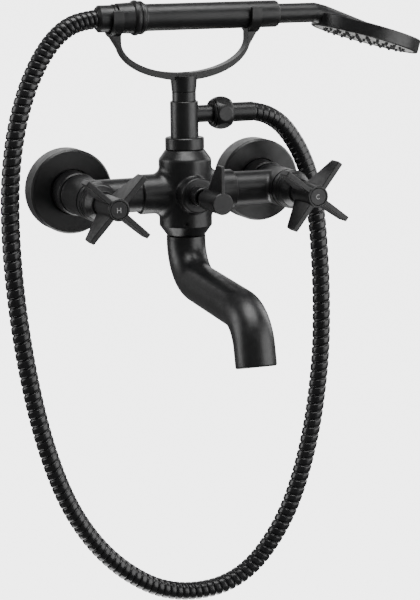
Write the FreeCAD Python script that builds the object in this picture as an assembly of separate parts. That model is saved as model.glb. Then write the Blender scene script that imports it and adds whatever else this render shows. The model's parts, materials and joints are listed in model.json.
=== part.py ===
import FreeCAD, Part
import math
import os

# Exposed wall mixer for a bath: two cross-handle valves on a horizontal body,
# a swivelling spout below, and a riser above it that carries a cradle with a
# hand shower on a hose.  Millimetres.  X runs along the wall to the viewer's
# right, -Y points out of the wall, +Z is up.  The origin lies on the wall,
# midway between the two inlets, at the height of their axes.

V = FreeCAD.Vector
X_AXIS = V(1, 0, 0)
OUT = V(0, -1, 0)
UP = V(0, 0, 1)

# ---- driving dimensions ----
INLET_SPACING = 150.0
HALF = INLET_SPACING / 2
BODY_Y = -53.5                  # axis of the horizontal body and of the column
THREAD_R = 10.48                # G1/2 male thread, outside radius
THREAD_LENGTH = 20.0            # stands into the wall
SEAT = 0.3                      # gap between faces that turn past each other

# wall side of each valve, as distances out of the wall
FLANGE_R = 31.2
FLANGE_DEPTH = 17.3
FLANGE_WALL = 1.6
UNION_R = 13.0                  # G3/4 thread that carries flange and nut
UNION_END = 26.0
UNION_BORE = 7.0
NUT_R = 15.6
NUT_START = 16.4
NUT_END = 33.4
TAIL_R = 10.0
TAIL_COLLAR_R = 12.6

# valve barrel, cartridge and bonnet, as distances out of the wall
BARREL_R = 14.2
BARREL_START = 35.0
BARREL_END = 70.2
CARTRIDGE_R = 10.0
CARTRIDGE_START = 50.0
CARTRIDGE_FLANGE_R = 11.2
CARTRIDGE_FLANGE_END = 74.0
CARTRIDGE_END = 86.0
CARTRIDGE_NECK_R = 8.0
BONNET_END = 90.6
DISC_R = 7.6
DISC_T = 3.0
STEM_R = 4.7
SPLINE_R = 3.9
RUNNING = 0.05                  # radial clearance of a running fit

# cross handle
HUB_R = 7.8
HUB_START = 91.3
HUB_FACE = 122.9
BUTTON_R = 6.4
BUTTON_T = 3.0
ARM_REACH = 29.5
ARM_T = 3.9
ARM_TIP_DEPTH = 12.5
ARM_ROOT_DEPTH = 28.0
HANDLE_TURN = {"hot": 2.5, "cold": 7.5}     # degrees past a true X, at rest

# horizontal body and central column
COLUMN_R = 19.3
COLUMN_LOW = -31.0
COLUMN_HIGH = 31.0
COLUMN_END_R = 14.3
CHAMFER = 6.8
STUB_R = 14.45
STUB_END = 36.4
TUBE_R = 12.5
WATERWAY_R = 8.2
BLEND_R = 6.0
SHOULDER_R = 3.5
BOSS_BLEND_R = 2.0
BARREL_BLEND_R = 2.5
BOSS_EDGE_R = 1.6

# diverter
BOSS_R = 13.0
BOSS_END = 81.0
RECESS_R = 8.75
RECESS_FLOOR = 76.0
GLAND_R = 7.1
GLAND_WALL = 1.5
GLAND_END = 90.0
KNOB_R = 7.7
KNOB_FACE = 127.5
KNOB_START = 99.5
FIN_T = 2.7
FIN_TOP = 26.5
FIN_TIP_DEPTH = 9.5
FIN_ROOT_DEPTH = 26.0
DRUM_R = 7.1
SHAFT_R = 4.0
GRUB_R = 1.6
GRUB_AT = V(0, -KNOB_START - 7.0, 0)

# spout
SPOUT_R = 14.3
SPOUT_WALL = 2.0
SPOUT_TOP = -31.6
SPOUT_TAIL_R = 9.9
SPOUT_TAIL_TOP = -12.0
SPOUT_CORNER_1 = (BODY_Y, -62.0)
SPOUT_CORNER_2 = (-176.4, -70.4)
SPOUT_OUTLET = (-184.5, -104.6)
SPOUT_BEND_R = 29.0
AERATOR_R = 12.4
AERATOR_DEPTH = 9.0
# screw low on the column that keeps the spout's tail in its socket
SET_SCREW_R = 1.9
SET_SCREW_Z = -21.4
SET_SCREW_ANGLE = math.radians(19)          # to the left of straight out
SET_SCREW_AXIS = V(-math.sin(SET_SCREW_ANGLE), -math.cos(SET_SCREW_ANGLE), 0)

# riser above the body
RISER_NUT_R = 14.25
RISER_NUT_TOP = 40.0
FOOT_R = 12.4
RISER_R = 10.25
RISER_TOP = 66.2
RISER_BORE = 6.5
COLLAR_R = 8.75
COLLAR_TOP = 73.2
CONE_TOP_R = 9.95
OUTLET_Z = 56.4
OUTLET_PIPE_R = 6.3
OUTLET_THREAD_R = 8.5
OUTLET_THREAD_START = 21.2
OUTLET_THREAD_END = 27.6
OUTLET_NUT_START = 20.6
OUTLET_NUT_END = 35.5
OUTLET_NUT_R = 12.0             # a ball, cut off at both ends
OUTLET_NUT_CENTRE = 28.4
OUTLET_NUT_FLAT = 10.9          # from the axis to each round flat

# cradle: a flat band on a half ellipse that widens into a fork at each end
CRADLE_CENTRE_Z = 110.0
CRADLE_INNER = (48.7, 23.2)     # half width, depth
CRADLE_OUTER = (50.6, 28.7)
CRADLE_FLARE = (45.0, 97.5)     # x and z where each end starts to widen
CRADLE_DEPTH = 9.5              # along Y
FORK_X = 52.8
FORK_WIDTH = 7.6
FORK_INNER_R = {-1: 11.15, 1: 10.05}    # round the sleeve, and round the grip
FORK_OUTER_R = 13.1
FORK_RISE = 6.0                 # prong tips above the hand shower's axis
CRADLE_SCREW_R = 2.5

# hose
HOSE_R = 6.75
FERRULE_R = 7.05
FERRULE_END = 54.0
HOSE_PLANE = BODY_Y
HOSE_END = -66.2                # face of the ferrule in the hand shower's nut
# Route of the hose in the column's plane, from the outlet to the hand shower.
HOSE_ROUTE = [
    (52.5, 56.6), (61.5, 55.0), (70.0, 51.0), (78.0, 44.8), (85.0, 36.0), (91.5, 25.5),
    (98.5, 9.5), (103.7, -12.0), (107.2, -42.0), (109.5, -88.0), (108.5, -140.0),
    (98.5, -204.0), (78.0, -262.0), (40.0, -304.5), (-15.0, -307.5), (-59.5, -279.5),
    (-92.0, -236.5), (-112.0, -182.0), (-125.0, -118.0), (-132.0, -55.0), (-133.3, 0.0),
    (-129.0, 42.0), (-119.5, 76.0), (-109.5, 96.5), (-102.0, 107.8), (-93.5, 117.0),
    (-84.5, 123.0), (-74.5, 125.9), (-64.5, 127.0),
]

# hand shower
SHOWER_Z = 126.9
HOSE_NUT_R = 9.6
HOSE_NUT_START = -65.6
HOSE_NUT_END = -53.9
INLET_RING_R = 8.6
THIN_RING_R = 10.2
THIN_RING_END = -52.6
SLEEVE_START = -50.9
SLEEVE_END = -39.2
SLEEVE_R = (10.6, 11.1)
RING_END = -29.2
RING_R = 12.6
GRIP_R = 9.72
GRIP_END = 73.6
GRIP_WALL = 1.2
NECK_R = 7.2
NECK_BEND_X = 103.0
HEAD_BEND = 17.0                # degrees the head is bent down
HEAD_ROLL = 0.3                 # degrees the shower is turned in its cradle
HEAD_CENTRE = 46.0              # along the head from the bend
HEAD_R = 41.2
TAIL_START = 8.0                # the neck's tail along the head's back
TAIL_START_R = 7.5
TAIL_END = 70.0
TAIL_END_R = 2.9
HEAD_TOP = 1.8                  # back face above the head's centre line
HEAD_T = 9.8
HEAD_WALL = 1.8
PLATE_R = 38.6
PLATE_T = 1.6
NOZZLE_R = 1.25
NOZZLE_RINGS = [(0.0, 1), (8.0, 6), (15.5, 12), (23.0, 18), (30.5, 24)]
NOZZLE_OUT = 2.0


# ---- helpers ----
def placed(shape, origin, axis):
    """Stand a shape that was drawn about +Z on another origin and axis."""
    shape.Placement = FreeCAD.Placement(origin, FreeCAD.Rotation(UP, axis))
    return shape


def lathe(profile, origin, axis):
    """Turned solid: profile is a closed outline of (distance along, radius)."""
    points = [V(r, 0, s) for s, r in profile]
    face = Part.Face(Part.makePolygon(points + points[:1]))
    return placed(face.revolve(V(0, 0, 0), UP, 360), origin, axis)


def rod(radius, start, end, origin, axis):
    cylinder = Part.makeCylinder(radius, end - start, V(0, 0, start), UP)
    return placed(cylinder, origin, axis)


def ring(inner, outer, start, end, origin, axis):
    return lathe([(start, inner), (end, inner), (end, outer), (start, outer)], origin, axis)


def o_ring(inner, outer, middle, origin, axis):
    """A round-section ring between two radii, centred at a distance along."""
    section_r = (outer - inner) / 2
    torus = Part.makeTorus(inner + section_r, section_r, V(0, 0, middle), UP)
    return placed(torus, origin, axis)


def fused(first, *others):
    return first.multiFuse(list(others)).removeSplitter()


def prism(outline, direction):
    """Extrude a closed outline of vectors along a vector."""
    return Part.Face(Part.makePolygon(outline + outline[:1])).extrude(direction)


def rounded_path(corners, radii):
    """Straight runs joined by tangent arcs; returns the wire and its length."""
    edges = []
    last = corners[0]
    length = 0.0
    for before, corner, after, radius in zip(corners, corners[1:], corners[2:], radii):
        d_in = (corner - before).normalize()
        d_out = (after - corner).normalize()
        half_turn = d_in.getAngle(d_out) / 2
        cut = radius * math.tan(half_turn)
        start = corner - d_in * cut
        end = corner + d_out * cut
        inward = (d_out - d_in).normalize()
        middle = corner + inward * (radius / math.cos(half_turn) - radius)
        edges.append(Part.LineSegment(last, start).toShape())
        edges.append(Part.Arc(start, middle, end).toShape())
        length += (start - last).Length + radius * 2 * half_turn
        last = end
    edges.append(Part.LineSegment(last, corners[-1]).toShape())
    length += (corners[-1] - last).Length
    return Part.Wire(edges), length


def tube_along(wire, radius, start, direction):
    circle = Part.Wire(Part.makeCircle(radius, start, direction))
    return wire.makePipeShell([circle], True, False)


PARTS = {}
WALL_CENTRE = V(0, 0, 0)
COLUMN = V(0, BODY_Y, 0)
OUTLET = V(0, BODY_Y, OUTLET_Z)
SHOWER = V(0, BODY_Y, SHOWER_Z)


# ---- wall side of the valves ----
def inlet_union(at):
    profile = [(-THREAD_LENGTH, UNION_BORE), (UNION_END, UNION_BORE), (UNION_END, UNION_R),
               (0, UNION_R), (0, THREAD_R), (1 - THREAD_LENGTH, THREAD_R),
               (-THREAD_LENGTH, THREAD_R - 1)]
    return lathe(profile, at, OUT)


def wall_flange(at):
    """A deep cup with a boss that screws on to the union's thread."""
    face = FLANGE_DEPTH
    floor = face - 2.2
    rim = FLANGE_R - FLANGE_WALL
    profile = [(0, rim), (0, FLANGE_R), (face - 1.4, FLANGE_R), (face, FLANGE_R - 1.4),
               (face, 16.8), (face - 1.1, 16.2), (face - 1.1, UNION_R), (6.0, UNION_R),
               (6.0, UNION_R + 2.5), (floor, UNION_R + 2.5), (floor, rim)]
    return lathe(profile, at, OUT)


def union_nut(at):
    """Captive nut: its lip pulls the mixer's tail on to the union."""
    lip = UNION_END + 4.2
    profile = [(NUT_START, UNION_R), (NUT_START, NUT_R - 0.8), (NUT_START + 0.8, NUT_R),
               (NUT_END - 1.0, NUT_R), (NUT_END, NUT_R - 1.0), (NUT_END, TAIL_R), (lip, TAIL_R),
               (lip, UNION_R)]
    return lathe(profile, at, OUT)


def inlet_washer(at):
    return ring(UNION_BORE + 0.8, TAIL_COLLAR_R - 0.2, UNION_END, UNION_END + 2.0, at, OUT)


# ---- cartridge, stem and bonnet ----
def valve_cartridge(at):
    """Screwed headwork: a chamber for the discs and a long bore for the stem."""
    chamber = CARTRIDGE_START + 9.2
    bore = STEM_R + RUNNING
    profile = [(CARTRIDGE_START, DISC_R), (CARTRIDGE_START, CARTRIDGE_R),
               (BARREL_END, CARTRIDGE_R), (BARREL_END, CARTRIDGE_FLANGE_R),
               (CARTRIDGE_FLANGE_END, CARTRIDGE_FLANGE_R),
               (CARTRIDGE_FLANGE_END, CARTRIDGE_NECK_R), (CARTRIDGE_END, CARTRIDGE_NECK_R),
               (CARTRIDGE_END, bore), (chamber, bore), (chamber, DISC_R)]
    return lathe(profile, at, OUT)


def ceramic_disc(at, start, radius, turn):
    """Polished disc with two windows that pass water when they line up."""
    disc = rod(radius, start, start + DISC_T, at, OUT)
    for side in (-1, 1):
        window = Part.makeBox(3.4, DISC_T + 2, 5.6)
        window.translate(V(side * 3.9 - 1.7, -start - DISC_T - 1, -2.8))
        window.rotate(V(0, 0, 0), V(0, 1, 0), turn)
        window.translate(at)
        disc = disc.cut(window)
    return disc


def valve_stem(at):
    """Spindle with a foot that drives the moving disc and a groove for its seal."""
    foot = CARTRIDGE_START + 2 * DISC_T + RUNNING
    groove = 68.0
    spline = HUB_START - 0.5
    tip = 110.0
    profile = [(foot, 0), (foot, DISC_R - 0.4), (foot + 2.6, DISC_R - 0.4), (foot + 2.6, STEM_R),
               (groove, STEM_R), (groove, 3.5), (groove + 2.6, 3.5), (groove + 2.6, STEM_R),
               (spline, STEM_R), (spline, SPLINE_R), (tip, SPLINE_R), (tip, 1.9), (tip - 10, 1.9),
               (tip - 11, 0)]
    return lathe(profile, at, OUT)


def stem_o_ring(at):
    return o_ring(3.5, STEM_R + 0.02, 69.3, at, OUT)


def bonnet(at):
    """Stepped cover that screws over the cartridge and hides it."""
    profile = [(BARREL_END, CARTRIDGE_FLANGE_R), (BARREL_END, 12.9), (72.0, 12.9), (72.6, 14.2),
               (77.0, 14.2), (77.6, 13.5), (79.6, 13.5), (80.2, 12.9), (84.2, 12.3),
               (89.0, 9.4), (BONNET_END, 9.0), (BONNET_END, STEM_R + 0.5),
               (CARTRIDGE_END + 0.2, STEM_R + 0.5), (CARTRIDGE_END + 0.2, CARTRIDGE_NECK_R),
               (CARTRIDGE_FLANGE_END, CARTRIDGE_NECK_R), (CARTRIDGE_FLANGE_END, CARTRIDGE_FLANGE_R)]
    return lathe(profile, at, OUT)


# ---- cross handle ----
def handle_arm(at, angle):
    """Flat blade along the stem: deep at the hub, shallower at the tip."""
    front = HUB_FACE - 0.5
    edge = 0.7
    outline = [V(0, -front, 0), V(ARM_REACH - edge, -front, 0), V(ARM_REACH, edge - front, 0),
               V(ARM_REACH, ARM_TIP_DEPTH - edge - front, 0),
               V(ARM_REACH - edge, ARM_TIP_DEPTH - front, 0),
               V(HUB_R - 1, ARM_ROOT_DEPTH - front, 0), V(0, ARM_ROOT_DEPTH - front, 0)]
    blade = prism(outline, V(0, 0, ARM_T))
    blade.translate(V(0, 0, -ARM_T / 2))
    long_edges = [e for e in blade.Edges if abs(e.CenterOfMass.z) > ARM_T / 2 - 0.01
                  and e.CenterOfMass.x > HUB_R]
    blade = blade.makeFillet(0.5, long_edges)
    blade.rotate(V(0, 0, 0), V(0, 1, 0), angle)
    blade.translate(at)
    return blade


def cross_handle(at, turn):
    hub = rod(HUB_R, HUB_START, HUB_FACE, at, OUT)
    rims = [e for e in hub.Edges if e.Length > HUB_R and len(e.Vertexes) == 1]
    hub = hub.makeFillet(0.5, rims)
    arms = [handle_arm(at, 45 + 90 * i - turn) for i in range(4)]
    handle = fused(hub, *arms)
    pocket = HUB_FACE - BUTTON_T - 0.3
    handle = handle.cut(rod(SPLINE_R, HUB_START - 1, HUB_FACE, at, OUT))
    handle = handle.cut(rod(5.0, 110.0, HUB_FACE, at, OUT))
    return handle.cut(rod(BUTTON_R + RUNNING, pocket, HUB_FACE + 1, at, OUT))


def handle_screw(at):
    """Cheese-head screw with a driver slot, up the middle of the stem."""
    head_back = 110.0
    profile = [(head_back - 9.5, 0), (head_back - 9.5, 1.9), (head_back, 1.9), (head_back, 3.7),
               (head_back + 2.8, 3.7), (head_back + 3.2, 3.3), (head_back + 3.2, 0)]
    slot = Part.makeBox(8.0, 2.0, 0.9, at + V(-4.0, -head_back - 3.4, -0.45))
    return lathe(profile, at, OUT).cut(slot)


def index_button(at):
    back = HUB_FACE - BUTTON_T - 0.3
    face = HUB_FACE - 0.2
    profile = [(back, 0), (back, BUTTON_R), (face - 0.5, BUTTON_R), (face, BUTTON_R - 0.5),
               (face, 0)]
    return lathe(profile, at, OUT)


for side, sign in (("hot", -1), ("cold", 1)):
    at = V(sign * HALF, 0, 0)
    PARTS[side + "_inlet_union"] = inlet_union(at)
    PARTS[side + "_wall_flange"] = wall_flange(at)
    PARTS[side + "_union_nut"] = union_nut(at)
    PARTS[side + "_inlet_washer"] = inlet_washer(at)
    PARTS[side + "_valve_cartridge"] = valve_cartridge(at)
    PARTS[side + "_fixed_disc"] = ceramic_disc(at, CARTRIDGE_START, DISC_R, 0)
    PARTS[side + "_moving_disc"] = ceramic_disc(at, CARTRIDGE_START + DISC_T + RUNNING,
                                                DISC_R - 0.1, 90)
    PARTS[side + "_valve_stem"] = valve_stem(at)
    PARTS[side + "_stem_o_ring"] = stem_o_ring(at)
    PARTS[side + "_bonnet"] = bonnet(at)
    PARTS[side + "_cross_handle"] = cross_handle(at, HANDLE_TURN[side])
    PARTS[side + "_handle_screw"] = handle_screw(at)
    PARTS[side + "_index_button"] = index_button(at)


# ---- mixer body ----
def crossings(shape, nearest, farthest):
    """Edges where two cylinders cross, between two distances from the middle."""
    return [e for e in shape.Edges if "BSpline" in e.Curve.TypeId
            and nearest < abs(e.CenterOfMass.x) < farthest]


def boss_root(shape):
    """Edges where the diverter boss meets the column and the stubs."""
    edges = []
    for e in shape.Edges:
        straight = e.Curve.TypeId == "Part::GeomLine"
        off_axis = max(math.hypot(v.Point.x, v.Point.z) for v in e.Vertexes)
        at_front = abs(e.CenterOfMass.y + BOSS_END) < 0.1
        if e.CenterOfMass.y < -66 and off_axis < BOSS_R + 0.1 and not straight and not at_front:
            edges.append(e)
    return edges


def mixer_body():
    """One casting: column, cross stubs, tubes, valve barrels and diverter boss."""
    straight = COLUMN_HIGH - CHAMFER
    cones = [Part.makeCone(COLUMN_R, COLUMN_END_R, CHAMFER,
                           COLUMN + UP * (sign * straight), UP * sign) for sign in (-1, 1)]
    column = fused(rod(COLUMN_R, -straight, straight, COLUMN, UP), *cones)
    column = column.makeFillet(SHOULDER_R, [e for e in column.Edges if len(e.Vertexes) == 1
                                            and abs(abs(e.CenterOfMass.z) - straight) < 0.1])
    stubs = rod(STUB_R, -STUB_END, STUB_END, COLUMN, X_AXIS)
    stubs = stubs.makeFillet(1.0, [e for e in stubs.Edges if len(e.Vertexes) == 1])
    pieces = [stubs, rod(TUBE_R, -HALF, HALF, COLUMN, X_AXIS)]
    tail = UNION_END + 2.0
    for sign in (-1, 1):
        at = V(sign * HALF, 0, 0)
        pieces.append(rod(BARREL_R, BARREL_START, BARREL_END, at, OUT))
        pieces.append(rod(TAIL_R, tail, BARREL_START + 1, at, OUT))
        pieces.append(rod(TAIL_COLLAR_R, tail, tail + 2.0, at, OUT))
    body = fused(column, *pieces)
    body = body.makeFillet(BLEND_R, crossings(body, 0, STUB_END))
    body = body.makeFillet(BARREL_BLEND_R, crossings(body, STUB_END, HALF))
    body = fused(body, rod(BOSS_R, -BODY_Y, BOSS_END, WALL_CENTRE, OUT))
    body = body.makeFillet(BOSS_BLEND_R, boss_root(body))
    front = [e for e in body.Edges if abs(e.CenterOfMass.y + BOSS_END) < 0.01
             and len(e.Vertexes) == 1]
    body = body.makeFillet(BOSS_EDGE_R, front)
    for sign in (-1, 1):
        at = V(sign * HALF, 0, 0)
        body = body.cut(rod(CARTRIDGE_R, CARTRIDGE_START, BARREL_END + 1, at, OUT))
        body = body.cut(rod(UNION_BORE, UNION_END, CARTRIDGE_START + 1, at, OUT))
    body = body.cut(rod(WATERWAY_R, -HALF, HALF, COLUMN, X_AXIS))
    body = body.cut(rod(WATERWAY_R, COLUMN_LOW - 1, COLUMN_HIGH + 1, COLUMN, UP))
    body = body.cut(rod(SPOUT_TAIL_R + 0.1, COLUMN_LOW - 1, SPOUT_TAIL_TOP + SEAT, COLUMN, UP))
    body = body.cut(rod(RECESS_R, -BODY_Y, BOSS_END + 1, WALL_CENTRE, OUT))
    screw_hole = rod(SET_SCREW_R, 10.0, COLUMN_R + 1, V(0, BODY_Y, SET_SCREW_Z), SET_SCREW_AXIS)
    return body.cut(screw_hole)


def spout_set_screw():
    at = V(0, BODY_Y, SET_SCREW_Z)
    screw = rod(SET_SCREW_R, SPOUT_TAIL_R + 0.15, COLUMN_R - 0.5, at, SET_SCREW_AXIS)
    socket = Part.Face(Part.makePolygon([V(math.cos(a), math.sin(a), 0) for a in
                                         [math.radians(60 * i) for i in range(7)]]))
    socket = socket.extrude(V(0, 0, 3))
    seat = at + SET_SCREW_AXIS * (COLUMN_R - 2.5)
    return screw.cut(placed(socket, seat, SET_SCREW_AXIS))


PARTS["mixer_body"] = mixer_body()
PARTS["spout_set_screw"] = spout_set_screw()


# ---- diverter ----
def diverter_cartridge():
    """Sleeve with two ports: one to the spout below, one to the riser above."""
    start = -BODY_Y
    sleeve = ring(SHAFT_R + RUNNING, RECESS_R, start, RECESS_FLOOR, WALL_CENTRE, OUT)
    chamber = rod(DRUM_R + 0.1, start - 1, start + 13.0, WALL_CENTRE, OUT)
    ports = rod(3.6, -12.0, 12.0, V(0, BODY_Y - 6.5, 0), UP)
    return sleeve.cut(chamber).cut(ports)


def diverter_spindle():
    start = -BODY_Y
    drum = rod(DRUM_R, start + 0.2, start + 12.8, WALL_CENTRE, OUT)
    shaft = rod(SHAFT_R, start + 12.8, KNOB_START + 14, WALL_CENTRE, OUT)
    slot = Part.makeBox(16.0, 9.0, 8.0, V(-8.0, BODY_Y - 11.0, -12.0))
    return fused(drum, shaft).cut(slot)


def diverter_gland_ring():
    """Threaded ring flush in the boss, with a thin collar round the spindle."""
    bore = SHAFT_R + 0.3
    mouth = GLAND_R - GLAND_WALL
    profile = [(RECESS_FLOOR, bore), (RECESS_FLOOR, RECESS_R), (BOSS_END, RECESS_R),
               (BOSS_END, GLAND_R), (GLAND_END - 0.5, GLAND_R), (GLAND_END, GLAND_R - 0.5),
               (GLAND_END, mouth), (BOSS_END + 2, mouth), (BOSS_END + 2, bore)]
    return lathe(profile, WALL_CENTRE, OUT)


def diverter_lever():
    """Round knob with one upright fin that is flush with its face."""
    edge = 0.5
    knob = lathe([(KNOB_START, 0), (KNOB_START, KNOB_R), (KNOB_FACE - edge, KNOB_R),
                  (KNOB_FACE, KNOB_R - edge), (KNOB_FACE, 0)], WALL_CENTRE, OUT)
    front = -KNOB_FACE
    outline = [V(0, front, 0), V(0, front, FIN_TOP - edge), V(0, front + edge, FIN_TOP),
               V(0, front + FIN_TIP_DEPTH - edge, FIN_TOP),
               V(0, front + FIN_TIP_DEPTH, FIN_TOP - edge),
               V(0, front + FIN_ROOT_DEPTH, KNOB_R - 1), V(0, front + FIN_ROOT_DEPTH, 0)]
    fin = prism(outline, V(FIN_T, 0, 0))
    fin.translate(V(-FIN_T / 2, 0, 0))
    long_edges = [e for e in fin.Edges if abs(e.CenterOfMass.x) > FIN_T / 2 - 0.01
                  and e.CenterOfMass.z > KNOB_R]
    lever = fused(knob, fin.makeFillet(0.4, long_edges))
    lever = lever.cut(rod(SHAFT_R, KNOB_START - 1, KNOB_START + 14, WALL_CENTRE, OUT))
    return lever.cut(rod(GRUB_R, 0, KNOB_R + 1, GRUB_AT, V(0, 0, -1)))


def diverter_grub_screw():
    return rod(GRUB_R, SHAFT_R, KNOB_R - 0.6, GRUB_AT, V(0, 0, -1))


PARTS["diverter_cartridge"] = diverter_cartridge()
PARTS["diverter_spindle"] = diverter_spindle()
PARTS["diverter_gland_ring"] = diverter_gland_ring()
PARTS["diverter_lever"] = diverter_lever()
PARTS["diverter_grub_screw"] = diverter_grub_screw()


# ---- spout ----
def spout_points():
    top = V(0, BODY_Y, SPOUT_TOP - 2)
    corners = [V(0, y, z) for y, z in (SPOUT_CORNER_1, SPOUT_CORNER_2, SPOUT_OUTLET)]
    return [top] + corners


SPOUT_END = V(0, *SPOUT_OUTLET)
SPOUT_END_AXIS = (SPOUT_END - V(0, *SPOUT_CORNER_2)).normalize()


def spout_tube():
    """Bent tube with a collar and a grooved tail that turns in the body."""
    points = spout_points()
    wire, _ = rounded_path(points, [SPOUT_BEND_R, SPOUT_BEND_R])
    down = V(0, 0, -1)
    outer = tube_along(wire, SPOUT_R, points[0], down)
    inner = tube_along(wire, SPOUT_R - SPOUT_WALL, points[0], down)
    rim = [e for e in outer.Edges if (e.CenterOfMass - SPOUT_END).Length < 0.5
           and len(e.Vertexes) == 1]
    outer = outer.makeFillet(1.5, rim)
    groove = 2.0
    low, high = (SPOUT_TAIL_TOP - 6.0, SPOUT_TAIL_TOP - 13.0)
    tail_bore = SPOUT_TAIL_R - 3.2
    collar_low = SPOUT_TOP - 2
    tail = [(collar_low, tail_bore), (collar_low, SPOUT_R), (SPOUT_TOP - 0.5, SPOUT_R),
            (SPOUT_TOP, SPOUT_R - 0.5), (SPOUT_TOP, SPOUT_TAIL_R)]
    for middle in (high, low):
        tail += [(middle - groove / 2, SPOUT_TAIL_R), (middle - groove / 2, 8.0),
                 (middle + groove / 2, 8.0), (middle + groove / 2, SPOUT_TAIL_R)]
    tail += [(SPOUT_TAIL_TOP, SPOUT_TAIL_R), (SPOUT_TAIL_TOP, tail_bore)]
    head = lathe(tail, COLUMN, UP)
    seat = rod(AERATOR_R, -AERATOR_DEPTH, 2.0, SPOUT_END, SPOUT_END_AXIS)
    return fused(outer.cut(inner), head).cut(seat)


def spout_o_rings():
    rings = [o_ring(8.0, SPOUT_TAIL_R + 0.02, SPOUT_TAIL_TOP - drop, COLUMN, UP)
             for drop in (6.0, 13.0)]
    return Part.makeCompound(rings)


def aerator_housing():
    """Threaded ring in the outlet that holds the jet former."""
    profile = [(-AERATOR_DEPTH, 10.6), (-AERATOR_DEPTH, AERATOR_R), (-0.6, AERATOR_R),
               (-0.2, AERATOR_R - 0.4), (-0.2, 10.0), (-1.4, 9.4), (-1.4, 9.0), (-2.4, 9.0),
               (-2.4, 10.6)]
    return lathe(profile, SPOUT_END, SPOUT_END_AXIS)


def aerator_insert():
    """Jet former: a drum crossed by a square grid of slots."""
    drum = rod(10.5, -8.6, -2.5, SPOUT_END, SPOUT_END_AXIS)
    cuts = []
    for i in range(-3, 4):
        slot = Part.makeBox(1.6, 16.0, 5.0, V(2.4 * i - 0.8, -8.0, -6.0))
        cuts.append(placed(slot, SPOUT_END, SPOUT_END_AXIS))
    return drum.cut(Part.makeCompound(cuts))


PARTS["spout_tube"] = spout_tube()
PARTS["spout_o_rings"] = spout_o_rings()
PARTS["aerator_housing"] = aerator_housing()
PARTS["aerator_insert"] = aerator_insert()


# ---- riser and hose outlet ----
def riser_nut():
    """Nut round the foot of the riser, screwed on to the top of the body."""
    lip = COLUMN_HIGH + 4.0
    profile = [(COLUMN_HIGH + 0.2, FOOT_R), (COLUMN_HIGH + 0.2, RISER_NUT_R - 0.6),
               (COLUMN_HIGH + 0.8, RISER_NUT_R), (RISER_NUT_TOP - 0.7, RISER_NUT_R),
               (RISER_NUT_TOP, RISER_NUT_R - 0.7), (RISER_NUT_TOP, RISER_R),
               (lip, RISER_R), (lip, FOOT_R)]
    return lathe(profile, COLUMN, UP)


def riser_seal():
    return ring(WATERWAY_R, FOOT_R - 0.4, COLUMN_HIGH, COLUMN_HIGH + 1.6, COLUMN, UP)


def riser_column():
    """Upright pipe with a foot, a side outlet and a stud hole in its top."""
    foot = COLUMN_HIGH + 1.6
    post = lathe([(foot, 0), (foot, FOOT_R - 0.1), (COLUMN_HIGH + 3.9, FOOT_R - 0.1),
                  (COLUMN_HIGH + 3.9, RISER_R), (RISER_TOP - 0.5, RISER_R),
                  (RISER_TOP, RISER_R - 0.5), (RISER_TOP, 0)], COLUMN, UP)
    pipe = lathe([(0, 0), (0, OUTLET_PIPE_R), (OUTLET_THREAD_START, OUTLET_PIPE_R),
                  (OUTLET_THREAD_START, OUTLET_THREAD_R), (OUTLET_THREAD_END, OUTLET_THREAD_R),
                  (OUTLET_THREAD_END, 0)], OUTLET, X_AXIS)
    riser = fused(post, pipe)
    riser = riser.cut(rod(RISER_BORE, foot - 1, OUTLET_Z + 4.5, COLUMN, UP))
    riser = riser.cut(rod(4.6, 0, OUTLET_THREAD_END + 1, OUTLET, X_AXIS))
    return riser.cut(rod(CRADLE_SCREW_R, OUTLET_Z + 4, RISER_TOP + 1, COLUMN, UP))


def outlet_check_valve():
    """Small non-return valve pressed into the side outlet."""
    sleeve = ring(2.8, 4.6, 14.0, 24.0, OUTLET, X_AXIS)
    poppet = rod(2.2, 12.0, 22.0, OUTLET, X_AXIS)
    spider = Part.makeBox(1.2, 8.4, 0.9, V(20.0, BODY_Y - 4.2, OUTLET_Z - 0.45))
    return fused(sleeve, poppet, spider)


def hose_outlet_nut():
    """Ball-shaped nut with six round ground flats and a groove at one end."""
    lip = OUTLET_THREAD_END + 3.5
    start = OUTLET_NUT_START
    end = OUTLET_NUT_END
    ball = Part.makeSphere(OUTLET_NUT_R, OUTLET + X_AXIS * OUTLET_NUT_CENTRE)
    nut = ball.common(rod(OUTLET_NUT_R, start, end, OUTLET, X_AXIS))
    nut = nut.cut(rod(OUTLET_THREAD_R, start - 1, lip, OUTLET, X_AXIS))
    nut = nut.cut(rod(FERRULE_R, lip - 1, end + 1, OUTLET, X_AXIS))
    nut = nut.cut(ring(OUTLET_THREAD_R + 0.9, 14.0, start + 1.3, start + 1.9, OUTLET, X_AXIS))
    for i in range(6):
        flat = Part.makeBox(end - start, 20.0, 6.0,
                            V(start + 2.6, BODY_Y - 10.0, OUTLET_Z + OUTLET_NUT_FLAT))
        flat.rotate(OUTLET, X_AXIS, 60 * i + 30)
        nut = nut.cut(flat)
    return nut


def hose_outlet_washer():
    return ring(4.6, OUTLET_THREAD_R - 0.3, OUTLET_THREAD_END, OUTLET_THREAD_END + 1.6,
                OUTLET, X_AXIS)


def outlet_ferrule():
    flange = OUTLET_THREAD_END + 1.6
    profile = [(flange, 4.0), (flange, OUTLET_THREAD_R - 0.2), (flange + 1.9, OUTLET_THREAD_R - 0.2),
               (flange + 1.9, FERRULE_R), (FERRULE_END - 0.6, FERRULE_R),
               (FERRULE_END, FERRULE_R - 0.5), (FERRULE_END, 4.0)]
    return lathe(profile, OUTLET, X_AXIS)


PARTS["riser_nut"] = riser_nut()
PARTS["riser_seal"] = riser_seal()
PARTS["riser_column"] = riser_column()
PARTS["outlet_check_valve"] = outlet_check_valve()
PARTS["hose_outlet_nut"] = hose_outlet_nut()
PARTS["hose_outlet_washer"] = hose_outlet_washer()
PARTS["outlet_ferrule"] = outlet_ferrule()


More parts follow.
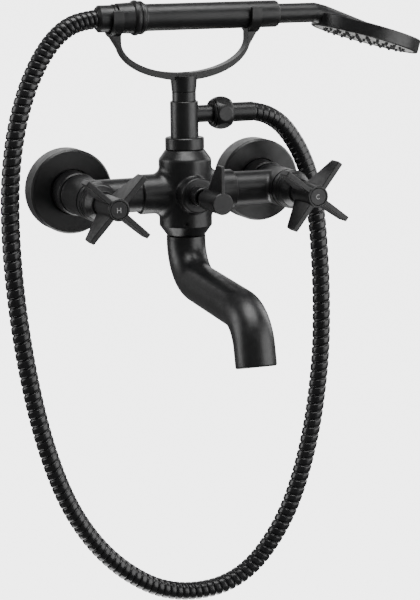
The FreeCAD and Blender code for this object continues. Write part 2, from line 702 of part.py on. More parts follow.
# ---- cradle ----
def cradle_collar():
    profile = [(RISER_TOP, CRADLE_SCREW_R), (RISER_TOP, COLLAR_R), (COLLAR_TOP - 0.4, COLLAR_R),
               (COLLAR_TOP, COLLAR_R - 0.4), (COLLAR_TOP, CRADLE_SCREW_R)]
    return lathe(profile, COLUMN, UP)


def cradle_plate(radii):
    """Elliptical plate as deep as the cradle along Y."""
    plate = Part.Face(Part.Wire(Part.Ellipse(V(0, 0, 0), *radii).toShape()))
    plate.rotate(V(0, 0, 0), X_AXIS, 90)
    plate.translate(V(0, BODY_Y + CRADLE_DEPTH / 2, CRADLE_CENTRE_Z))
    return plate.extrude(V(0, -CRADLE_DEPTH, 0))


def cradle_band():
    """Band under a half ellipse, with ends that widen up to the forks."""
    inner_x = CRADLE_INNER[0]
    outer_x = FORK_X + FORK_WIDTH / 2
    top = SHOWER_Z - FORK_OUTER_R + 4
    above = Part.makeBox(200, 60, 60, V(-100, BODY_Y - 30, CRADLE_CENTRE_Z))
    band = cradle_plate(CRADLE_OUTER).cut(above)
    ends = []
    for sign in (-1, 1):
        outline = [(CRADLE_FLARE[0], CRADLE_FLARE[1]), (outer_x, CRADLE_CENTRE_Z + 6),
                   (outer_x, top), (inner_x - 5, top), (inner_x - 5, CRADLE_FLARE[1])]
        ends.append(prism([V(sign * x, BODY_Y + CRADLE_DEPTH / 2, z) for x, z in outline],
                          V(0, -CRADLE_DEPTH, 0)))
    gap = Part.makeBox(2 * inner_x, 60, 60, V(-inner_x, BODY_Y - 30, CRADLE_CENTRE_Z))
    return fused(band, *ends).cut(cradle_plate(CRADLE_INNER)).cut(gap)


def cradle_fork(sign):
    """Solid upright block with a round foot, which the U is cut from."""
    x0 = sign * FORK_X - FORK_WIDTH / 2
    outer_r = FORK_OUTER_R
    origin = V(x0, BODY_Y, SHOWER_Z)
    cup = Part.makeCylinder(outer_r, FORK_WIDTH, origin, X_AXIS)
    tip = SHOWER_Z + FORK_RISE
    prongs = Part.makeBox(FORK_WIDTH, 2 * outer_r, FORK_RISE,
                          V(x0, BODY_Y - outer_r, SHOWER_Z))
    fork = cup.cut(Part.makeBox(FORK_WIDTH, 2 * outer_r, outer_r,
                                V(x0, BODY_Y - outer_r, SHOWER_Z)))
    fork = fused(fork, prongs)
    tips = [e for e in fork.Edges if abs(e.CenterOfMass.z - tip) < 0.01]
    return fork.makeFillet(1.0, tips)


def fork_gap(sign):
    """Open space of one U, as wide as everything the band's end carries."""
    radius = FORK_INNER_R[sign]
    start = V(min(sign * 40, sign * 70), BODY_Y, SHOWER_Z)
    slot = Part.makeBox(30, 2 * radius, FORK_OUTER_R + 5, start - V(0, radius, 0))
    return Part.makeCylinder(radius, 30, start, X_AXIS).fuse(slot)


def shower_cradle():
    base = lathe([(COLLAR_TOP, 0), (COLLAR_TOP, COLLAR_R + 0.1), (84.5, CONE_TOP_R), (84.5, 0)],
                 COLUMN, UP)
    cradle = fused(cradle_band(), base, cradle_fork(-1), cradle_fork(1))
    cradle = cradle.cut(fork_gap(-1)).cut(fork_gap(1))
    floor = CRADLE_CENTRE_Z - CRADLE_INNER[1]
    cradle = cradle.cut(rod(CRADLE_SCREW_R, COLLAR_TOP - 1, floor + 5, COLUMN, UP))
    return cradle.cut(rod(4.3, floor - 3.4, floor + 5, COLUMN, UP))


def cradle_screw():
    """Socket screw through the cradle and its collar into the riser."""
    seat = CRADLE_CENTRE_Z - CRADLE_INNER[1] - 3.4
    screw = fused(rod(CRADLE_SCREW_R, OUTLET_Z + 5, seat, COLUMN, UP),
                  rod(4.2, seat, seat + 2.8, COLUMN, UP))
    points = [V(1.7 * math.cos(math.radians(60 * i)), 1.7 * math.sin(math.radians(60 * i)), 0)
              for i in range(6)]
    socket = prism(points, V(0, 0, 3))
    socket.translate(COLUMN + V(0, 0, seat + 1))
    return screw.cut(socket)


PARTS["cradle_collar"] = cradle_collar()
PARTS["shower_cradle"] = shower_cradle()
PARTS["cradle_screw"] = cradle_screw()


# ---- hose ----
def shower_hose():
    """Hose from the outlet's ferrule to the hand shower's, cut flush with both."""
    corners = [V(x, HOSE_PLANE, z) for x, z in HOSE_ROUTE]
    radii = []
    for before, corner, after in zip(corners, corners[1:], corners[2:]):
        d_in = corner - before
        d_out = after - corner
        half_turn = d_in.getAngle(d_out) / 2
        radii.append(0.45 * min(d_in.Length, d_out.Length) / math.tan(half_turn))
    print("hose radii:", [round(r) for r in radii])
    wire, length = rounded_path(corners, radii)
    hose = tube_along(wire, HOSE_R, corners[0], corners[1] - corners[0])
    print("hose length:", round(length, 1), "volume ratio:",
          round(hose.Volume / (math.pi * HOSE_R ** 2 * length), 4))
    for x in (FERRULE_END + 0.02 - 20, HOSE_END - 0.02):
        hose = hose.cut(Part.makeBox(20, 30, 120, V(x, HOSE_PLANE - 15, 30)))
    return hose


PARTS["shower_hose"] = shower_hose()


# ---- hand shower ----
def handset_hose_nut():
    start = HOSE_NUT_START
    lip = -59.9
    profile = [(start, FERRULE_R), (start, HOSE_NUT_R - 1.6), (start + 1.6, HOSE_NUT_R),
               (HOSE_NUT_END, HOSE_NUT_R), (HOSE_NUT_END, INLET_RING_R), (lip, INLET_RING_R),
               (lip, FERRULE_R)]
    return lathe(profile, SHOWER, X_AXIS)


def handset_ferrule():
    profile = [(HOSE_END, 4.0), (HOSE_END, FERRULE_R - 0.1), (-59.9, FERRULE_R - 0.1),
               (-59.9, INLET_RING_R - 0.1), (-58.2, INLET_RING_R - 0.1), (-58.2, 4.0)]
    return lathe(profile, SHOWER, X_AXIS)


def handset_washer():
    return ring(4.6, INLET_RING_R - 0.1, -58.2, -56.6, SHOWER, X_AXIS)


def handset_inlet():
    """Threaded tail of the hand shower, with the thin ring before the sleeve."""
    face = HOSE_NUT_END + 0.3
    profile = [(-56.6, 4.6), (-56.6, INLET_RING_R), (face, INLET_RING_R),
               (face, THIN_RING_R), (THIN_RING_END, THIN_RING_R), (THIN_RING_END, 9.3),
               (SLEEVE_START - 0.3, 9.3), (SLEEVE_START - 0.3, 7.9),
               (RING_END + 6, 7.9), (RING_END + 6, 6.1), (SLEEVE_END - 2, 6.1),
               (SLEEVE_END - 2, 4.6)]
    return lathe(profile, SHOWER, X_AXIS)


def handset_sleeve():
    profile = [(SLEEVE_START, 7.9), (SLEEVE_START, SLEEVE_R[0] - 0.4),
               (SLEEVE_START + 0.4, SLEEVE_R[0]), (SLEEVE_END, SLEEVE_R[1]), (SLEEVE_END, 7.9)]
    return lathe(profile, SHOWER, X_AXIS)


def handset_ring():
    """Double bead between the sleeve and the grip."""
    start = SLEEVE_END
    profile = [(start, 7.9), (start, 11.3), (start + 0.8, RING_R - 0.4), (start + 1.8, RING_R),
               (start + 3.0, RING_R), (start + 3.9, RING_R - 0.5), (start + 4.3, 11.4),
               (start + 4.9, 11.2), (start + 5.6, 11.9), (start + 7.2, 11.9), (start + 8.2, 11.2),
               (RING_END - 1.0, 10.3), (RING_END, 10.2), (RING_END, 7.9)]
    return lathe(profile, SHOWER, X_AXIS)


def handset_grip():
    """Thin tube with a rounded front end that closes on the neck."""
    profile = [(RING_END, GRIP_R - GRIP_WALL), (RING_END, GRIP_R), (GRIP_END - 1.8, GRIP_R),
               (GRIP_END - 0.7, GRIP_R - 0.5), (GRIP_END, GRIP_R - 1.8), (GRIP_END, NECK_R),
               (GRIP_END - 5.0, NECK_R), (GRIP_END - 5.0, GRIP_R - GRIP_WALL)]
    return lathe(profile, SHOWER, X_AXIS)


def handset_inner_pipe():
    profile = [(SLEEVE_END - 2, 4.6), (SLEEVE_END - 2, 6.1), (GRIP_END - 4, 6.1),
               (GRIP_END - 4, 4.6)]
    return lathe(profile, SHOWER, X_AXIS)


BEND = V(NECK_BEND_X, BODY_Y, SHOWER_Z)
HEAD_AXIS = V(math.cos(math.radians(HEAD_BEND)), 0, -math.sin(math.radians(HEAD_BEND)))
SPRAY_AXIS = V(-math.sin(math.radians(HEAD_BEND)), 0, -math.cos(math.radians(HEAD_BEND)))
HEAD_MIDDLE = BEND + HEAD_AXIS * HEAD_CENTRE
# distances along the spray axis, from the head's centre line
BACK_FACE = -HEAD_TOP
RIM_FACE = HEAD_T - HEAD_TOP
PLATE_FACE = RIM_FACE - 0.4
CHAMBER_TOP = BACK_FACE + HEAD_WALL
MAT_T = 1.0


def rolled(shape):
    """Turn a piece of the hand shower about its own axis, as it lies in the forks."""
    shape.rotate(SHOWER, X_AXIS, HEAD_ROLL)
    return shape


def handset_head():
    """Neck, its tail along the back, and a flat round shell open underneath."""
    neck = rod(NECK_R, GRIP_END - 4.0, NECK_BEND_X, SHOWER, X_AXIS)
    elbow = Part.makeSphere(NECK_R, BEND)
    tail = lathe([(0, 0), (0, NECK_R), (TAIL_START, TAIL_START_R), (TAIL_END, TAIL_END_R),
                  (TAIL_END + TAIL_END_R, 0)], BEND, HEAD_AXIS)
    below = Part.makeBox(140, 140, 40, V(-70, -70, 0))
    below = placed(below, HEAD_MIDDLE + SPRAY_AXIS * (RIM_FACE - 1.0), SPRAY_AXIS)
    edge = 0.6
    disc = lathe([(BACK_FACE, 0), (BACK_FACE, HEAD_R - edge), (BACK_FACE + edge, HEAD_R),
                  (RIM_FACE - edge, HEAD_R), (RIM_FACE, HEAD_R - edge), (RIM_FACE, 0)],
                 HEAD_MIDDLE, SPRAY_AXIS)
    shell = fused(neck, elbow, tail.cut(below), disc)
    chamber = rod(PLATE_R, CHAMBER_TOP, RIM_FACE + 1, HEAD_MIDDLE, SPRAY_AXIS)
    passage = fused(rod(4.6, GRIP_END - 5, NECK_BEND_X, SHOWER, X_AXIS),
                    Part.makeSphere(4.6, BEND),
                    lathe([(0, 0), (0, 4.6), (34.0, 1.6), (34.0, 0)], BEND, HEAD_AXIS))
    return rolled(shell.cut(chamber).cut(passage))


def nozzle_places():
    """Centres of the nozzles on concentric rings about the head's middle."""
    places = []
    across = V(0, 1, 0)
    for radius, count in NOZZLE_RINGS:
        for i in range(count):
            a = 2 * math.pi * (i + 0.5) / count
            places.append(HEAD_AXIS * (radius * math.cos(a)) + across * (radius * math.sin(a)))
    return places


def head_diffuser():
    """Disc with holes that spreads the water over the nozzle mat."""
    top = CHAMBER_TOP + 1.4
    disc = rod(PLATE_R, top, top + 1.0, HEAD_MIDDLE, SPRAY_AXIS)
    holes = [rod(2.2, top - 1, top + 2, HEAD_MIDDLE + place, SPRAY_AXIS)
             for place in nozzle_places()[1:19:2]]
    return rolled(disc.cut(Part.makeCompound(holes)))


def spray_plate():
    """Pale front plate, pierced for the nozzles."""
    top = PLATE_FACE - PLATE_T
    plate = rod(PLATE_R, top, PLATE_FACE, HEAD_MIDDLE, SPRAY_AXIS)
    holes = [rod(NOZZLE_R + 0.1, top - 1, PLATE_FACE + 1, HEAD_MIDDLE + place, SPRAY_AXIS)
             for place in nozzle_places()]
    return rolled(plate.cut(Part.makeCompound(holes)))


def spray_nozzles():
    """Soft mat whose tapered nozzles stand through the plate."""
    top = PLATE_FACE - PLATE_T - MAT_T
    mat = rod(PLATE_R - 1.0, top, top + MAT_T, HEAD_MIDDLE, SPRAY_AXIS)
    nozzles = []
    for place in nozzle_places():
        profile = [(top, 0), (top, NOZZLE_R), (PLATE_FACE, NOZZLE_R),
                   (PLATE_FACE + NOZZLE_OUT, 0.9), (PLATE_FACE + NOZZLE_OUT, 0)]
        nozzles.append(lathe(profile, HEAD_MIDDLE + place, SPRAY_AXIS))
    return rolled(mat.multiFuse(nozzles))


PARTS["handset_hose_nut"] = handset_hose_nut()
PARTS["handset_ferrule"] = handset_ferrule()
PARTS["handset_washer"] = handset_washer()
PARTS["handset_inlet"] = handset_inlet()
PARTS["handset_sleeve"] = handset_sleeve()
PARTS["handset_ring"] = handset_ring()
PARTS["handset_grip"] = handset_grip()
PARTS["handset_inner_pipe"] = handset_inner_pipe()
PARTS["handset_head"] = handset_head()
PARTS["head_diffuser"] = head_diffuser()
PARTS["spray_plate"] = spray_plate()
PARTS["spray_nozzles"] = spray_nozzles()

os.makedirs("parts", exist_ok=True)
for name, shape in PARTS.items():
    if not shape.isValid():
        print("not valid:", name)
    shape.exportStep("parts/" + name + ".step")
print(len(PARTS), "nodes")
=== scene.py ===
import json
import math

import bpy
import numpy as np
from mathutils import Matrix, Vector


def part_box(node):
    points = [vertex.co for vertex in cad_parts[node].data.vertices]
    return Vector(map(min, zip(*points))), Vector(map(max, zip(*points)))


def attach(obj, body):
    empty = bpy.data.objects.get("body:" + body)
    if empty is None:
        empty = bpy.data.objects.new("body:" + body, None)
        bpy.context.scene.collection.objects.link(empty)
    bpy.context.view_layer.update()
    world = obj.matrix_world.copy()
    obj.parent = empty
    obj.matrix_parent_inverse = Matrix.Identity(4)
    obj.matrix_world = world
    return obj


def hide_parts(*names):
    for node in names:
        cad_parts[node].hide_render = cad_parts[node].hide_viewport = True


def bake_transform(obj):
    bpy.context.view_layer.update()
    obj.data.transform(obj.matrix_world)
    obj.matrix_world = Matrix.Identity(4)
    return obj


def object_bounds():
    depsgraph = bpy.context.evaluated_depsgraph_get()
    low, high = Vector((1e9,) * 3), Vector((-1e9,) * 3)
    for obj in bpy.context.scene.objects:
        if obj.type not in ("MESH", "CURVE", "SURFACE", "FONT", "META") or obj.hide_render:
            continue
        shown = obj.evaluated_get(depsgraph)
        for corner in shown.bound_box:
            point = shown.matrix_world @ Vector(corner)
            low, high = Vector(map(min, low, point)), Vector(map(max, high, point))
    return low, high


# Exposed wall mixer for a bath, matte black, with a hand shower on a ribbed
# metal hose.  Metres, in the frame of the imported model: X along the wall,
# -Y out of the wall, +Z up, origin on the wall between the two inlets.

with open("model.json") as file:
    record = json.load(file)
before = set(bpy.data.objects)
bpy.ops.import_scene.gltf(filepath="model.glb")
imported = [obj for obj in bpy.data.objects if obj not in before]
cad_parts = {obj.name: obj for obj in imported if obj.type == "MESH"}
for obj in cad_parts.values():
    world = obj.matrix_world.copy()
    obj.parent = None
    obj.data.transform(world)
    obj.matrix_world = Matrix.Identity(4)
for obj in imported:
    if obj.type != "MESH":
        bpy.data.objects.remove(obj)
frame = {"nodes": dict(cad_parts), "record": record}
cad_low, cad_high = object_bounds()
NODES = frame["nodes"]
MM = 0.001


# ---- camera ----
AZIMUTH = math.radians(21.48)       # the camera stands to the left of straight out
ELEVATION = math.radians(10.91)
ROLL = math.radians(0.72)
DISTANCE = 1.4465
TARGET = Vector((0.01574, -0.060, -0.08089))
LENS = 117.5                        # mm, on the sensor below
SENSOR = 36.0


def make_camera():
    """Long-lens camera, a little to the left of the object and above it."""
    data = bpy.data.cameras.new("camera")
    data.sensor_width = SENSOR
    data.lens = LENS
    forward = Vector((math.sin(AZIMUTH) * math.cos(ELEVATION),
                      math.cos(AZIMUTH) * math.cos(ELEVATION), -math.sin(ELEVATION)))
    right = Vector((math.cos(AZIMUTH), -math.sin(AZIMUTH), 0))
    up = right.cross(forward)
    image_x = right * math.cos(ROLL) - up * math.sin(ROLL)
    image_y = right * math.sin(ROLL) + up * math.cos(ROLL)
    camera = bpy.data.objects.new("camera", data)
    rotation = Matrix((image_x, image_y, -forward)).transposed()
    camera.matrix_world = Matrix.Translation(TARGET - forward * DISTANCE) @ rotation.to_4x4()
    bpy.context.scene.collection.objects.link(camera)
    bpy.context.scene.camera = camera


make_camera()


# ---- mesh helpers ----
def new_object(name, points, faces, body=None):
    mesh = bpy.data.meshes.new(name)
    mesh.from_pydata([tuple(p) for p in points], [], faces)
    mesh.validate()
    mesh.shade_smooth()
    obj = bpy.data.objects.new(name, mesh)
    bpy.context.scene.collection.objects.link(obj)
    if body:
        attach(obj, body)
    return obj


def grid_faces(rings, around, caps=True):
    """Quads between closed rings of points, and a face over each end."""
    faces = []
    for i in range(rings - 1):
        for j in range(around):
            k = (j + 1) % around
            faces.append((i * around + j, i * around + k,
                          (i + 1) * around + k, (i + 1) * around + j))
    if caps:
        faces.append(tuple(range(around - 1, -1, -1)))
        last = (rings - 1) * around
        faces.append(tuple(range(last, last + around)))
    return faces


# ---- the hose ----
HOSE_D = 13.5 * MM
HOSE_PLANE = -53.5 * MM
# Control points of the hose's line, in the column's plane, as x and z in mm.
HOSE_ROUTE = [
    (52.5, 56.6), (61.5, 55.0), (70.0, 51.0), (78.0, 44.8), (85.0, 36.0), (91.5, 25.5),
    (98.5, 9.5), (103.7, -12.0), (107.2, -42.0), (109.5, -88.0), (108.5, -140.0),
    (98.5, -204.0), (78.0, -262.0), (40.0, -304.5), (-15.0, -307.5), (-59.5, -279.5),
    (-92.0, -236.5), (-112.0, -182.0), (-125.0, -118.0), (-132.0, -55.0), (-133.3, 0.0),
    (-129.0, 42.0), (-119.5, 76.0), (-109.5, 96.5), (-102.0, 107.8), (-93.5, 117.0),
    (-84.5, 123.0), (-74.5, 125.9), (-64.5, 127.0),
]
HOSE_AROUND = 28
# Length of one turn against the way along the hose, both in mm.  The hose's
# weight pulls the turns open below each end and least at the bottom.
TURN_LENGTH = [(0, 4.7), (75, 4.9), (115, 7.1), (430, 5.2), (790, 6.9), (860, 6.0),
               (925, 4.2), (957, 3.6)]
# One turn of the wound strip: share of the turn, depth below the top in mm
# where the turns are pulled open, and where they are closed up.
HOSE_TURN = [(0.00, 1.05, 0.60), (0.05, 0.95, 0.42), (0.09, 0.50, 0.10), (0.13, 0.22, 0.02),
             (0.19, 0.06, 0.00), (0.28, 0.00, 0.00), (0.40, 0.00, 0.00), (0.54, 0.00, 0.00),
             (0.68, 0.02, 0.00), (0.79, 0.10, 0.00), (0.86, 0.24, 0.02), (0.91, 0.50, 0.10),
             (0.95, 0.95, 0.42)]
CLOSED_TO = (66, 100)               # where the turns start to open, in mm


def hose_line():
    """Points close together along the hose's smooth line."""
    curve = bpy.data.curves.new("hose_line", "CURVE")
    curve.dimensions = "3D"
    curve.resolution_u = 32
    spline = curve.splines.new("NURBS")
    spline.points.add(len(HOSE_ROUTE) - 1)
    for point, (x, z) in zip(spline.points, HOSE_ROUTE):
        point.co = (x * MM, HOSE_PLANE, z * MM, 1)
    spline.order_u = 3
    spline.use_endpoint_u = True
    obj = bpy.data.objects.new("hose_line", curve)
    mesh = bpy.data.meshes.new_from_object(obj)
    points = np.array([v.co for v in mesh.vertices])
    bpy.data.objects.remove(obj)
    bpy.data.meshes.remove(mesh)
    return points


def hose_surface(line, along):
    """Rings of points of one helical ridge with a rounded top and deep gaps.

    along is the way to each point of the line.  Each ring of points leans
    with the helix, so it spans one turn's length along the hose.
    """
    length = along[-1]
    places, lengths = np.array(TURN_LENGTH).T * MM
    starts = [-lengths[0]]
    while starts[-1] < length + lengths[-1]:
        starts.append(starts[-1] + np.interp(starts[-1], places, lengths))
    turns = np.arange(len(starts)) - 1
    share, open_depth, closed_depth = np.array(HOSE_TURN).T
    phase = (turns[:-1, None] + share[None, :]).ravel()
    angle = np.linspace(0, 2 * math.pi, HOSE_AROUND, endpoint=False)
    at = np.interp(phase[:, None] + angle[None, :] / (2 * math.pi), turns, starts)
    at = np.clip(at, 0, length)
    kept = (at.max(axis=1) > 0) & (at.min(axis=1) < length)
    opened = np.clip((at / MM - CLOSED_TO[0]) / (CLOSED_TO[1] - CLOSED_TO[0]), 0, 1)
    depth = (np.tile(open_depth, len(turns) - 1)[:, None] * opened
             + np.tile(closed_depth, len(turns) - 1)[:, None] * (1 - opened))
    radius = (HOSE_D / 2 - depth * MM)[..., None]

    def place(s):
        return np.stack([np.interp(s, along, line[:, k]) for k in range(3)], axis=-1)

    tangent = place(np.minimum(at + MM, length)) - place(np.maximum(at - MM, 0))
    tangent /= np.linalg.norm(tangent, axis=-1, keepdims=True)
    side = np.array([0.0, 1.0, 0.0])
    across = np.cross(tangent, side)
    around = side * np.cos(angle)[None, :, None] + across * np.sin(angle)[None, :, None]
    return (place(at) + around * radius)[kept]


def make_hose():
    """Wound strip hose that bends from the body to the hand shower."""
    line = hose_line()
    steps = np.linalg.norm(np.diff(line, axis=0), axis=1)
    along = np.concatenate([[0], np.cumsum(steps)])
    points = hose_surface(line, along)
    ribbed = new_object("ribbed_hose", points.reshape(-1, 3).tolist(),
                        grid_faces(len(points), HOSE_AROUND))
    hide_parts("shower_hose")
    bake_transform(ribbed)
    return ribbed


hose = make_hose()


# ---- threads on the inlet unions ----
THREAD_PITCH = 1.814 * MM           # G1/2
THREAD_DEPTH = 1.16 * MM
THREAD_R = 10.45 * MM
THREAD_START = 0.5 * MM             # first ring of the thread, from the end face
THREAD_RUN_IN = 1.6 * MM            # the thread grows to full height over this length
FLANK_SLOPE = 1.5                   # over 1, the crests and roots have flats
UNION_BORE = 7.0 * MM
BORE_CHAMFER = 0.7 * MM
RIM_CHAMFER = 0.4 * MM
UNION_R = 13.0 * MM                 # the thicker end, inside the flange
UNION_END = 26.0 * MM
THREAD_STEPS = 8                    # rings of points in one turn
THREAD_AROUND = 48
THREAD_EDGE = math.radians(35)      # bends sharper than this stay sharp


def make_union(side):
    """Hollow union with a helical thread on the end that goes into the wall."""
    low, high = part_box(side + "_inlet_union")
    centre = (low + high) / 2
    end = high.y
    turns = int((end - THREAD_PITCH / 2) / THREAD_PITCH)
    angle = np.linspace(0, 2 * math.pi, THREAD_AROUND, endpoint=False)
    rings = [(end - BORE_CHAMFER, np.full(THREAD_AROUND, UNION_BORE)),
             (end, np.full(THREAD_AROUND, UNION_BORE + BORE_CHAMFER)),
             (end, np.full(THREAD_AROUND, THREAD_R - THREAD_DEPTH - RIM_CHAMFER))]
    for i in range(turns * THREAD_STEPS):
        y = end - THREAD_START - i * THREAD_PITCH / THREAD_STEPS
        wave = 1 - abs(2 * ((y / THREAD_PITCH + angle / (2 * math.pi)) % 1) - 1)
        crest = np.clip(wave * FLANK_SLOPE - (FLANK_SLOPE - 1) / 2, 0, 1)
        lead = min((end - y) / THREAD_RUN_IN, 1)
        rings.append((y, THREAD_R - THREAD_DEPTH * (1 - crest * lead)))
    rings += [(0.0, np.full(THREAD_AROUND, THREAD_R - THREAD_DEPTH)),
              (0.0, np.full(THREAD_AROUND, UNION_R)),
              (-UNION_END, np.full(THREAD_AROUND, UNION_R)),
              (-UNION_END, np.full(THREAD_AROUND, UNION_BORE))]
    points = [(centre.x + r * math.cos(a), y, centre.z + r * math.sin(a))
              for y, radii in rings for a, r in zip(angle, radii)]
    faces = grid_faces(len(rings), THREAD_AROUND, caps=False)
    last = (len(rings) - 1) * THREAD_AROUND
    for j in range(THREAD_AROUND):
        k = (j + 1) % THREAD_AROUND
        faces.append((last + j, last + k, k, j))
    union = new_object(side + "_threaded_union", points, faces, "mixer")
    union.data.set_sharp_from_angle(angle=THREAD_EDGE)
    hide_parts(side + "_inlet_union")
    return union


unions = [make_union("hot"), make_union("cold")]


# ---- materials ----
GLOSS_PATCH = 4                     # gloss patches in the size of one colour patch
BUMP_DISTANCE = 0.4 * MM
EDGE = math.radians(32)             # bends sharper than this stay sharp


def noise(nodes, links, position, scale, detail=4.0, roughness=0.5):
    texture = nodes.new("ShaderNodeTexNoise")
    texture.inputs["Scale"].default_value = scale
    texture.inputs["Detail"].default_value = detail
    texture.inputs["Roughness"].default_value = roughness
    links.new(position, texture.inputs["Vector"])
    return texture.outputs["Fac"]


def mapped(nodes, links, value, low, high, from_low=0.35, from_high=0.65):
    ramp = nodes.new("ShaderNodeMapRange")
    ramp.inputs["From Min"].default_value = from_low
    ramp.inputs["From Max"].default_value = from_high
    ramp.inputs["To Min"].default_value = low
    ramp.inputs["To Max"].default_value = high
    links.new(value, ramp.inputs["Value"])
    return ramp.outputs["Result"]


def make_material(name, colour, colour_far, rough, rough_far, metallic=0.0, grain=900.0,
                  bump=0.05, patch=60.0, round_edges=0.0):
    """Plain surface with slow colour change, uneven gloss and a fine grain.

    colour and colour_far are the two ends of the slow change, rough and
    rough_far those of the gloss.  patch and grain are the scales of the
    colour change and the bump, per metre.
    """
    material = bpy.data.materials.new(name)
    material.use_nodes = True
    nodes = material.node_tree.nodes
    links = material.node_tree.links
    shader = nodes["Principled BSDF"]
    shader.inputs["Metallic"].default_value = metallic
    position = nodes.new("ShaderNodeTexCoord").outputs["Object"]
    slow = noise(nodes, links, position, patch)
    mix = nodes.new("ShaderNodeMix")
    mix.data_type = "RGBA"
    mix.inputs["A"].default_value = (*colour, 1)
    mix.inputs["B"].default_value = (*colour_far, 1)
    links.new(mapped(nodes, links, slow, 0, 1), mix.inputs["Factor"])
    links.new(mix.outputs["Result"], shader.inputs["Base Color"])
    gloss = noise(nodes, links, position, patch * GLOSS_PATCH)
    links.new(mapped(nodes, links, gloss, rough, rough_far), shader.inputs["Roughness"])
    fine = nodes.new("ShaderNodeBump")
    fine.inputs["Strength"].default_value = bump
    fine.inputs["Distance"].default_value = BUMP_DISTANCE
    links.new(noise(nodes, links, position, grain, 2.0), fine.inputs["Height"])
    if round_edges:
        bevel = nodes.new("ShaderNodeBevel")
        bevel.inputs["Radius"].default_value = round_edges
        links.new(bevel.outputs["Normal"], fine.inputs["Normal"])
    links.new(fine.outputs["Normal"], shader.inputs["Normal"])
    return material


MATERIALS = {
    "black_metal": make_material("black_metal", (0.0070, 0.0070, 0.0074), (0.0100, 0.0100, 0.0105),
                                 0.32, 0.42, grain=2600.0, bump=0.10, round_edges=0.0005),
    "black_hose": make_material("black_hose", (0.0065, 0.0065, 0.0072), (0.0100, 0.0100, 0.0108),
                                0.24, 0.34, grain=2600.0, bump=0.05),
    "brass": make_material("brass", (0.66, 0.47, 0.20), (0.74, 0.55, 0.27), 0.22, 0.36,
                           metallic=1.0, grain=1500.0, bump=0.08),
    "steel_screw": make_material("steel_screw", (0.10, 0.10, 0.105), (0.16, 0.16, 0.165),
                                 0.30, 0.42, metallic=1.0, bump=0.06),
    "ceramic_disc": make_material("ceramic_disc", (0.84, 0.83, 0.79), (0.88, 0.87, 0.84),
                                  0.06, 0.12, bump=0.01),
    "seal_rubber": make_material("seal_rubber", (0.016, 0.016, 0.017), (0.026, 0.026, 0.027),
                                 0.62, 0.75, bump=0.10),
    "white_plastic": make_material("white_plastic", (0.74, 0.74, 0.72), (0.80, 0.80, 0.78),
                                   0.40, 0.52, bump=0.05),
    "spray_plate": make_material("spray_plate", (0.76, 0.76, 0.75), (0.82, 0.82, 0.81),
                                 0.24, 0.34, bump=0.03),
    "nozzle_silicone": make_material("nozzle_silicone", (0.040, 0.040, 0.042),
                                     (0.060, 0.060, 0.062), 0.45, 0.58, bump=0.05),
    "index_paint": make_material("index_paint", (0.42, 0.42, 0.42), (0.50, 0.50, 0.50),
                                 0.45, 0.55, bump=0.04),
}


def paint(obj, slot):
    obj.data.materials.clear()
    obj.data.materials.append(MATERIALS[slot])


for part in frame["record"]["subparts"]:
    node = NODES[part["node"]]
    node.data.shade_smooth()
    node.data.set_sharp_from_angle(angle=EDGE)
    paint(node, part["material_slot"])
paint(hose, "black_hose")
for union in unions:
    paint(union, "brass")


# ---- index letters ----
LETTER_HEIGHT = 3.6 * MM
LETTER_STROKE = 0.46 * MM
LETTER_LIFT = 0.06 * MM             # proud of the button's face
LETTER_ROOT = 0.2 * MM              # below it
H_HALF_WIDTH = 0.36                 # of the letter's height
C_WIDTH = 0.86                      # of a round C
C_START, C_SPAN, C_BARS = 45, 270, 18   # degrees, degrees, bars


def letter_bar(ends, stroke):
    """Flat rectangle along a line from one end to the other, in a plane."""
    start, end = (Vector(p) for p in ends)
    along = (end - start).normalized()
    side = Vector((-along.y, along.x)) * stroke / 2
    return [start + side, start - side, end - side, end + side]


def letter_h():
    half = LETTER_HEIGHT / 2
    wide = LETTER_HEIGHT * H_HALF_WIDTH
    return [letter_bar(ends, LETTER_STROKE) for ends in
            (((-wide, -half), (-wide, half)), ((wide, -half), (wide, half)),
             ((-wide, 0), (wide, 0)))]


def letter_c():
    """Open ring made of short bars."""
    radius = LETTER_HEIGHT / 2 - LETTER_STROKE / 2
    stops = [math.radians(C_START + C_SPAN * i / C_BARS) for i in range(C_BARS + 1)]
    rim = [(C_WIDTH * radius * math.cos(a), radius * math.sin(a)) for a in stops]
    return [letter_bar(pair, LETTER_STROKE) for pair in zip(rim, rim[1:])]


def make_letter(side, quads):
    """Thin light inlay that stands just proud of the index button."""
    low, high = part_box(side + "_index_button")
    centre = (low + high) / 2
    points = []
    faces = []
    for quad in quads:
        base = len(points)
        for y in (low.y + LETTER_ROOT, low.y - LETTER_LIFT):
            points += [Vector((centre.x + p.x, y, centre.z + p.y)) for p in quad]
        faces.append((base + 4, base + 5, base + 6, base + 7))
        faces += [(base + i, base + (i + 1) % 4, base + 4 + (i + 1) % 4, base + 4 + i)
                  for i in range(4)]
    letter = new_object(side + "_index_letter", points, faces, side + "_handle")
    letter.data.shade_flat()
    paint(letter, "index_paint")


make_letter("hot", letter_h())
make_letter("cold", letter_c())


# ---- studio ----
FLOOR_Z = cad_low.z - 1.6
FLOOR_HALF = 150.0
PALE = 4.2                          # brightness of the floor and of the space behind it
DIM = 0.15                          # the light that reaches the object from all round


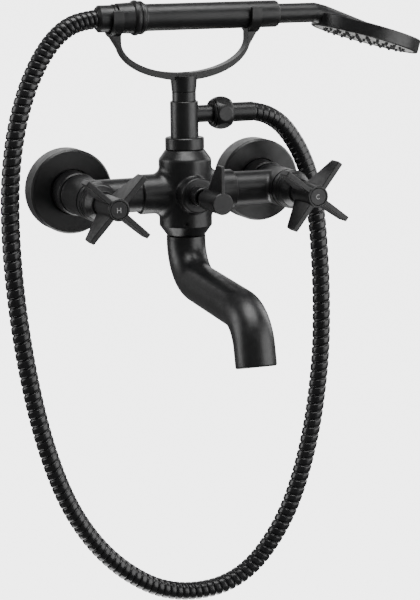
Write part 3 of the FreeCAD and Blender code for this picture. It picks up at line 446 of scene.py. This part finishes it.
def make_floor():
    """Wide white floor well below the object, lit evenly from within."""
    points = [(x * FLOOR_HALF, y * FLOOR_HALF, FLOOR_Z)
              for x, y in ((-1, -1), (1, -1), (1, 1), (-1, 1))]
    floor = new_object("studio_floor", points, [(0, 1, 2, 3)])
    material = bpy.data.materials.new("studio_floor")
    material.use_nodes = True
    shader = material.node_tree.nodes["Principled BSDF"]
    shader.inputs["Base Color"].default_value = (0.92, 0.92, 0.92, 1)
    shader.inputs["Roughness"].default_value = 0.9
    shader.inputs["Specular IOR Level"].default_value = 0.0
    shader.inputs["Emission Color"].default_value = (1, 1, 1, 1)
    shader.inputs["Emission Strength"].default_value = PALE
    floor.data.materials.append(material)
    floor.visible_diffuse = False
    floor.visible_glossy = False


MIDDLE = Vector((0.0, -0.06, -0.05))    # the lights face this point
# Name, centre, width and height in metres, power in watts.
LIGHTS = [
    ("key", (1.45, -1.25, 0.15), 2.1, 1.7, 36),
    ("right_rim", (1.8, 0.6, 0.7), 0.9, 1.4, 14),
    ("left_rim", (-1.75, 0.6, 0.3), 1.0, 1.6, 20),
    ("top", (0.0, -0.50, 1.75), 1.5, 1.0, 40),
    ("bounce", (-0.1, 0.35, -1.45), 1.4, 1.0, 22),
    ("back", (0.3, 1.8, 0.5), 1.6, 1.6, 10),
]


def softbox(name, centre, width, height, power):
    """Rectangular area light that faces the middle of the object."""
    data = bpy.data.lights.new(name, "AREA")
    data.shape = "RECTANGLE"
    data.size = width
    data.size_y = height
    data.energy = power
    light = bpy.data.objects.new(name, data)
    light.location = centre
    direction = MIDDLE - Vector(centre)
    light.rotation_euler = direction.to_track_quat("-Z", "Y").to_euler()
    light.visible_camera = False
    bpy.context.scene.collection.objects.link(light)


make_floor()
for light in LIGHTS:
    softbox(*light)
world = bpy.data.worlds.new("studio")
world.use_nodes = True
background = world.node_tree.nodes["Background"]
background.inputs["Color"].default_value = (1, 1, 1, 1)
seen = world.node_tree.nodes.new("ShaderNodeLightPath").outputs["Is Camera Ray"]
strength = mapped(world.node_tree.nodes, world.node_tree.links, seen, DIM, PALE, 0, 1)
world.node_tree.links.new(strength, background.inputs["Strength"])
bpy.context.scene.world = world
